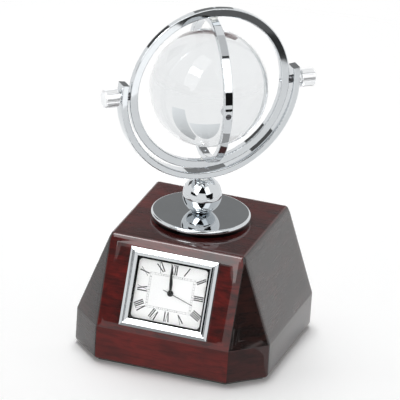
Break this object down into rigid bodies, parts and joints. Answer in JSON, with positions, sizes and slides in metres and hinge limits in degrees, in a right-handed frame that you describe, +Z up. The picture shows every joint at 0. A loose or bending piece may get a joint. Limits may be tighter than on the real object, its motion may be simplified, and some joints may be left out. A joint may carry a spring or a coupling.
{
  "type": "crystal desk clock",
  "caption": "Desk clock: faceted wooden block with a rectangular quartz insert, carrying a crystal globe in a chrome gimbal on a ball pedestal.",
  "frame": {"origin": "centre of the felt's flat foot, on the surface that the clock stands on", "axes": "+Z up, the dial faces -Y, +X to the right of someone reading the dial"},
  "size_m": [0.1038, 0.1045, 0.181],
  "materials": {
    "rosewood": "dark red rosewood under a deep gloss lacquer",
    "felt": "pressed felt",
    "steel": "turned steel",
    "dark_steel": "blackened steel",
    "chrome": "bright polished plating",
    "nylon": "natural nylon",
    "crystal": "polished solid crystal",
    "lens_glass": "flat mineral glass",
    "black_plastic": "moulded",
    "white_plastic": "moulded",
    "dial_white": "matt white print",
    "rubber": "soft",
    "board": "green solder mask",
    "copper": "enamelled wire",
    "brass": "cut and polished",
    "hand_black": "black enamel",
    "hand_grey": "grey enamel"
  },
  "bodies": {
    "base": {"base_block": "rosewood", "felt_pad": "felt", "base_bolt": "steel", "bolt_washer": "steel", "base_disc": "chrome", "ball_pedestal": "chrome", "swivel_washer": "nylon", "yoke_screw": "steel"},
    "yoke": {"yoke": "chrome", "left_spacer": "dark_steel", "right_spacer": "dark_steel"},
    "left_knob": {"left_knob": "chrome"},
    "right_knob": {"right_knob": "chrome"},
    "hoop": {"hoop": "chrome", "upper_pivot_pin": "steel", "lower_pivot_pin": "steel", "upper_washer": "nylon", "lower_washer": "nylon"},
    "meridian_ring": {"meridian_ring": "chrome", "front_globe_pin": "steel", "rear_globe_pin": "steel", "front_collar": "steel", "rear_collar": "steel"},
    "globe": {"globe": "crystal"},
    "clock_insert": {"clock_bezel": "chrome", "clock_lens": "lens_glass", "dial_frame": "black_plastic", "dial": "dial_white", "insert_housing": "black_plastic", "grip_ring": "rubber", "movement_case": "black_plastic", "movement_cover": "white_plastic", "circuit_board": "board", "drive_coil": "copper", "battery": "steel", "battery_clip": "brass", "back_cover": "black_plastic"},
    "minute_hand": {"minute_hand": "hand_black", "cannon_pinion": "brass"},
    "hour_hand": {"hour_hand": "hand_black", "hour_wheel": "brass"},
    "second_hand": {"second_hand": "hand_grey", "seconds_arbor": "brass"},
    "setting_knob": {"setting_knob": "black_plastic", "minute_wheel": "brass"}
  },
  "joints": [
    {"name": "yoke_swivel", "type": "hinge", "parent": "base", "child": "yoke", "pos_m": [0, 0, 0.0924], "axis": [0, 0, 1], "continuous": true},
    {"name": "left_knob_turn", "type": "hinge", "parent": "yoke", "child": "left_knob", "pos_m": [0, 0, 0.1376], "axis": [-0.749, -0.6626, 0], "continuous": true},
    {"name": "right_knob_turn", "type": "hinge", "parent": "yoke", "child": "right_knob", "pos_m": [0, 0, 0.1376], "axis": [0.749, 0.6626, 0], "continuous": true},
    {"name": "hoop_tilt", "type": "hinge", "parent": "yoke", "child": "hoop", "pos_m": [0, 0, 0.1376], "axis": [0.749, 0.6626, 0], "continuous": true},
    {"name": "ring_turn", "type": "hinge", "parent": "hoop", "child": "meridian_ring", "pos_m": [0, 0, 0.1376], "axis": [0, 0, 1], "continuous": true},
    {"name": "globe_turn", "type": "hinge", "parent": "meridian_ring", "child": "globe", "pos_m": [0, 0, 0.1376], "axis": [0.5563, -0.831, 0], "continuous": true},
    {"name": "insert_pull", "type": "slide", "parent": "base", "child": "clock_insert", "axis": [0, -0.9421, 0.3353], "range_m": [0, 0.024]},
    {"name": "minute_turn", "type": "hinge", "parent": "clock_insert", "child": "minute_hand", "pos_m": [0, -0.0441, 0.04172], "axis": [0, 0.9421, -0.3353], "continuous": true},
    {"name": "hour_turn", "type": "hinge", "parent": "clock_insert", "child": "hour_hand", "pos_m": [0, -0.0441, 0.04172], "axis": [0, 0.9421, -0.3353], "continuous": true},
    {"name": "second_turn", "type": "hinge", "parent": "clock_insert", "child": "second_hand", "pos_m": [0, -0.0441, 0.04172], "axis": [0, 0.9421, -0.3353], "continuous": true},
    {"name": "setting_turn", "type": "hinge", "parent": "clock_insert", "child": "setting_knob", "pos_m": [0, -0.04645, 0.03512], "axis": [0, 0.9421, -0.3353], "continuous": true}
  ],
  "couplings": [
    {"joint": "hour_turn", "follows": "minute_turn", "ratio": 0.083333},
    {"joint": "setting_turn", "follows": "minute_turn", "ratio": -0.33333}
  ]
}
